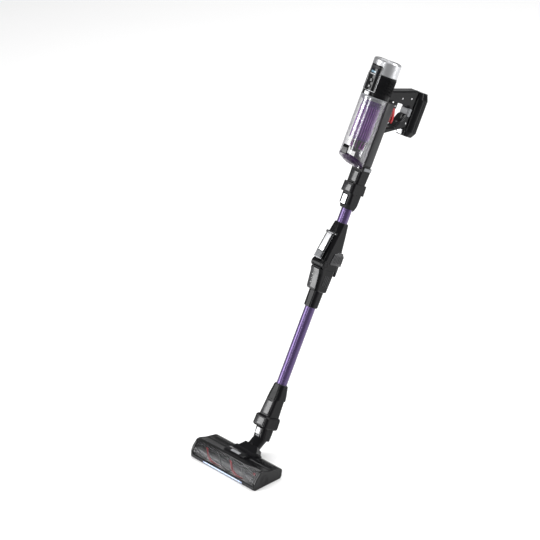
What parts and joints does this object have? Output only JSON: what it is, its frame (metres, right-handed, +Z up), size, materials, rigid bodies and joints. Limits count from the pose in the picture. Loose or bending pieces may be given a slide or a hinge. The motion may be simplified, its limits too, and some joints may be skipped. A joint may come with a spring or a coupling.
{
  "type": "cordless stick vacuum",
  "caption": "Upright cordless stick vacuum with clear cyclone bin, folding violet wand, loop handle with clip-on battery and a lit motor brush nozzle.",
  "frame": {"origin": "middle of the nozzle's sole, on the floor", "axes": "+Z up, -Y towards the nozzle's front, +X towards its right end seen from behind; the stick leans back towards +Y"},
  "size_m": [0.248, 0.7467, 1.0233],
  "materials": {
    "black_plastic": "fine-grained black moulding",
    "gloss_black": "polished black moulding",
    "grey_plastic": "light grey moulding",
    "dark_grey_plastic": "dark grey moulding",
    "silver": "satin silver paint",
    "violet_metal": "satin violet anodised tube",
    "clear_plastic": "smoky clear polycarbonate",
    "violet_plastic": "translucent violet moulding",
    "lid_plastic": "dark violet-grey moulding",
    "red_plastic": "red moulding",
    "white_plastic": "white moulding",
    "lamp": "frosted lamp cover",
    "screen": "dark glossy screen",
    "smoke_window": "smoke-tinted clear moulding",
    "steel": "bright steel",
    "copper_black": "cast aluminium",
    "filter": "filter fleece",
    "rubber": "soft black rubber",
    "bristle": "nylon bristle",
    "cell_wrap": "shrink wrap"
  },
  "bodies": {
    "main_unit": {"duct_connector": "black_plastic", "spine": "black_plastic", "spine_screws": "steel", "motor_housing": "black_plastic", "display_panel": "gloss_black", "display_window": "screen", "motor_can": "steel", "motor_bearings": "steel", "motor_mount": "dark_grey_plastic", "handle_frame": "black_plastic", "trigger_pin": "steel", "grip_pad": "grey_plastic"},
    "trigger": {"trigger": "red_plastic"},
    "boost_button": {"boost_button": "gloss_black"},
    "power_button": {"power_button": "gloss_black"},
    "bin_release": {"bin_release": "white_plastic"},
    "fan": {"impeller": "copper_black", "motor_shaft": "steel"},
    "exhaust_cap": {"exhaust_cap": "silver", "exhaust_filter": "filter"},
    "battery": {"battery_case": "black_plastic", "battery_cells": "cell_wrap", "charge_socket": "dark_grey_plastic"},
    "battery_latch": {"battery_latch": "silver"},
    "dust_bin": {"bin_body": "clear_plastic", "bin_rim": "grey_plastic", "pre_filter": "filter", "cyclone_shroud": "violet_plastic", "cyclone_cone": "gloss_black", "bin_hinge": "steel"},
    "bin_lid": {"bin_lid": "lid_plastic"},
    "lid_latch": {"lid_latch": "gloss_black"},
    "upper_wand": {"upper_connector": "black_plastic", "upper_tube": "violet_metal", "flex_upper_housing": "black_plastic", "flex_rear_cover": "dark_grey_plastic", "flex_pins": "steel", "flex_hose": "rubber"},
    "wand_button": {"wand_button": "silver"},
    "flex_lever": {"flex_lever": "silver"},
    "lower_wand": {"flex_lower_housing": "black_plastic", "lower_tube": "violet_metal", "foot_collar": "black_plastic"},
    "head_connector": {"head_connector": "black_plastic"},
    "head_button": {"head_button": "white_plastic"},
    "neck_yoke": {"neck_yoke": "black_plastic"},
    "nozzle": {"nozzle_cover": "black_plastic", "nozzle_window": "smoke_window", "light_strip": "lamp", "sole_plate": "dark_grey_plastic", "sole_screws": "steel", "brush_housing": "black_plastic", "end_caps": "gloss_black", "brush_motor": "steel", "drive_belt": "rubber"},
    "brush": {"brush_core": "dark_grey_plastic", "brush_bristles": "bristle"},
    "motor_pinion": {"motor_pinion": "steel"},
    "wheel_right": {"wheel_right": "rubber"},
    "wheel_left": {"wheel_left": "rubber"}
  },
  "joints": [
    {"name": "trigger_pull", "type": "hinge", "parent": "main_unit", "child": "trigger", "pos_m": [0, 0.5739, 0.87399], "axis": [1, 0, 0], "range_deg": [0, 12], "stiffness_Nm_per_rad": 0.6, "springref_deg": -8.59},
    {"name": "boost_press", "type": "slide", "parent": "main_unit", "child": "boost_button", "axis": [0, 0.8771, -0.4802], "range_m": [0, 0.0015], "stiffness_N_per_m": 400, "springref_m": -0.002},
    {"name": "power_press", "type": "slide", "parent": "main_unit", "child": "power_button", "axis": [0, 0.8771, -0.4802], "range_m": [0, 0.0015], "stiffness_N_per_m": 400, "springref_m": -0.002},
    {"name": "bin_release_press", "type": "slide", "parent": "main_unit", "child": "bin_release", "axis": [0, 0.8771, -0.4802], "range_m": [0, 0.002], "stiffness_N_per_m": 400, "springref_m": -0.002},
    {"name": "fan_spin", "type": "hinge", "parent": "main_unit", "child": "fan", "pos_m": [0, 0.51854, 0.93737], "axis": [0, 0.4802, 0.8771], "continuous": true},
    {"name": "exhaust_cap_lift", "type": "slide", "parent": "main_unit", "child": "exhaust_cap", "axis": [0, 0.4802, 0.8771], "range_m": [0, 0.06]},
    {"name": "battery_slide", "type": "slide", "parent": "main_unit", "child": "battery", "axis": [0, -0.4802, -0.8771], "range_m": [0, 0.12]},
    {"name": "battery_latch_press", "type": "slide", "parent": "battery", "child": "battery_latch", "axis": [0, 0.8771, -0.4802], "range_m": [0, 0.003], "stiffness_N_per_m": 400, "springref_m": -0.002},
    {"name": "bin_slide", "type": "slide", "parent": "main_unit", "child": "dust_bin", "axis": [0, -0.8771, 0.4802], "range_m": [0, 0.08]},
    {"name": "lid_open", "type": "hinge", "parent": "dust_bin", "child": "bin_lid", "pos_m": [0, 0.44241, 0.73793], "axis": [1, 0, 0], "range_deg": [0, 60]},
    {"name": "lid_latch_release", "type": "hinge", "parent": "dust_bin", "child": "lid_latch", "pos_m": [0, 0.40434, 0.81292], "axis": [-1, 0, 0], "range_deg": [0, 15], "stiffness_Nm_per_rad": 0.1, "springref_deg": -11.46},
    {"name": "wand_slide", "type": "slide", "parent": "main_unit", "child": "upper_wand", "axis": [0, -0.4802, -0.8771], "range_m": [0, 0.06]},
    {"name": "wand_button_press", "type": "slide", "parent": "upper_wand", "child": "wand_button", "axis": [0, 0.8771, -0.4802], "range_m": [0, 0.0025], "stiffness_N_per_m": 400, "springref_m": -0.002},
    {"name": "flex_fold", "type": "hinge", "parent": "upper_wand", "child": "lower_wand", "pos_m": [0, 0.30843, 0.49947], "axis": [-1, 0, 0], "range_deg": [0, 90], "deforming": ["flex_hose"]},
    {"name": "flex_lever_press", "type": "hinge", "parent": "upper_wand", "child": "flex_lever", "pos_m": [0, 0.35021, 0.57578], "axis": [1, 0, 0], "range_deg": [0, 4], "stiffness_Nm_per_rad": 1.5, "springref_deg": -5.73},
    {"name": "head_slide", "type": "slide", "parent": "lower_wand", "child": "head_connector", "axis": [0, -0.4802, -0.8771], "range_m": [0, 0.05]},
    {"name": "head_button_press", "type": "slide", "parent": "head_connector", "child": "head_button", "axis": [0, 0.8771, -0.4802], "range_m": [0, 0.0025], "stiffness_N_per_m": 400, "springref_m": -0.002},
    {"name": "neck_steer", "type": "hinge", "parent": "head_connector", "child": "neck_yoke", "pos_m": [0, 0.038, 0.021], "axis": [0, 0.866, 0.5], "range_deg": [-60, 60]},
    {"name": "neck_pitch", "type": "hinge", "parent": "neck_yoke", "child": "nozzle", "pos_m": [0, 0.038, 0.021], "axis": [1, 0, 0], "range_deg": [-28, 30]},
    {"name": "brush_spin", "type": "hinge", "parent": "nozzle", "child": "brush", "pos_m": [0, -0.029, 0.0174], "axis": [1, 0, 0], "continuous": true},
    {"name": "pinion_spin", "type": "hinge", "parent": "nozzle", "child": "motor_pinion", "pos_m": [0.105, 0.022, 0.0174], "axis": [1, 0, 0], "continuous": true},
    {"name": "wheel_right_spin", "type": "hinge", "parent": "nozzle", "child": "wheel_right", "pos_m": [0.111, 0.039, 0.009], "axis": [1, 0, 0], "continuous": true},
    {"name": "wheel_left_spin", "type": "hinge", "parent": "nozzle", "child": "wheel_left", "pos_m": [-0.111, 0.039, 0.009], "axis": [1, 0, 0], "continuous": true}
  ],
  "couplings": [
    {"joint": "pinion_spin", "follows": "brush_spin", "ratio": 2.3333}
  ]
}
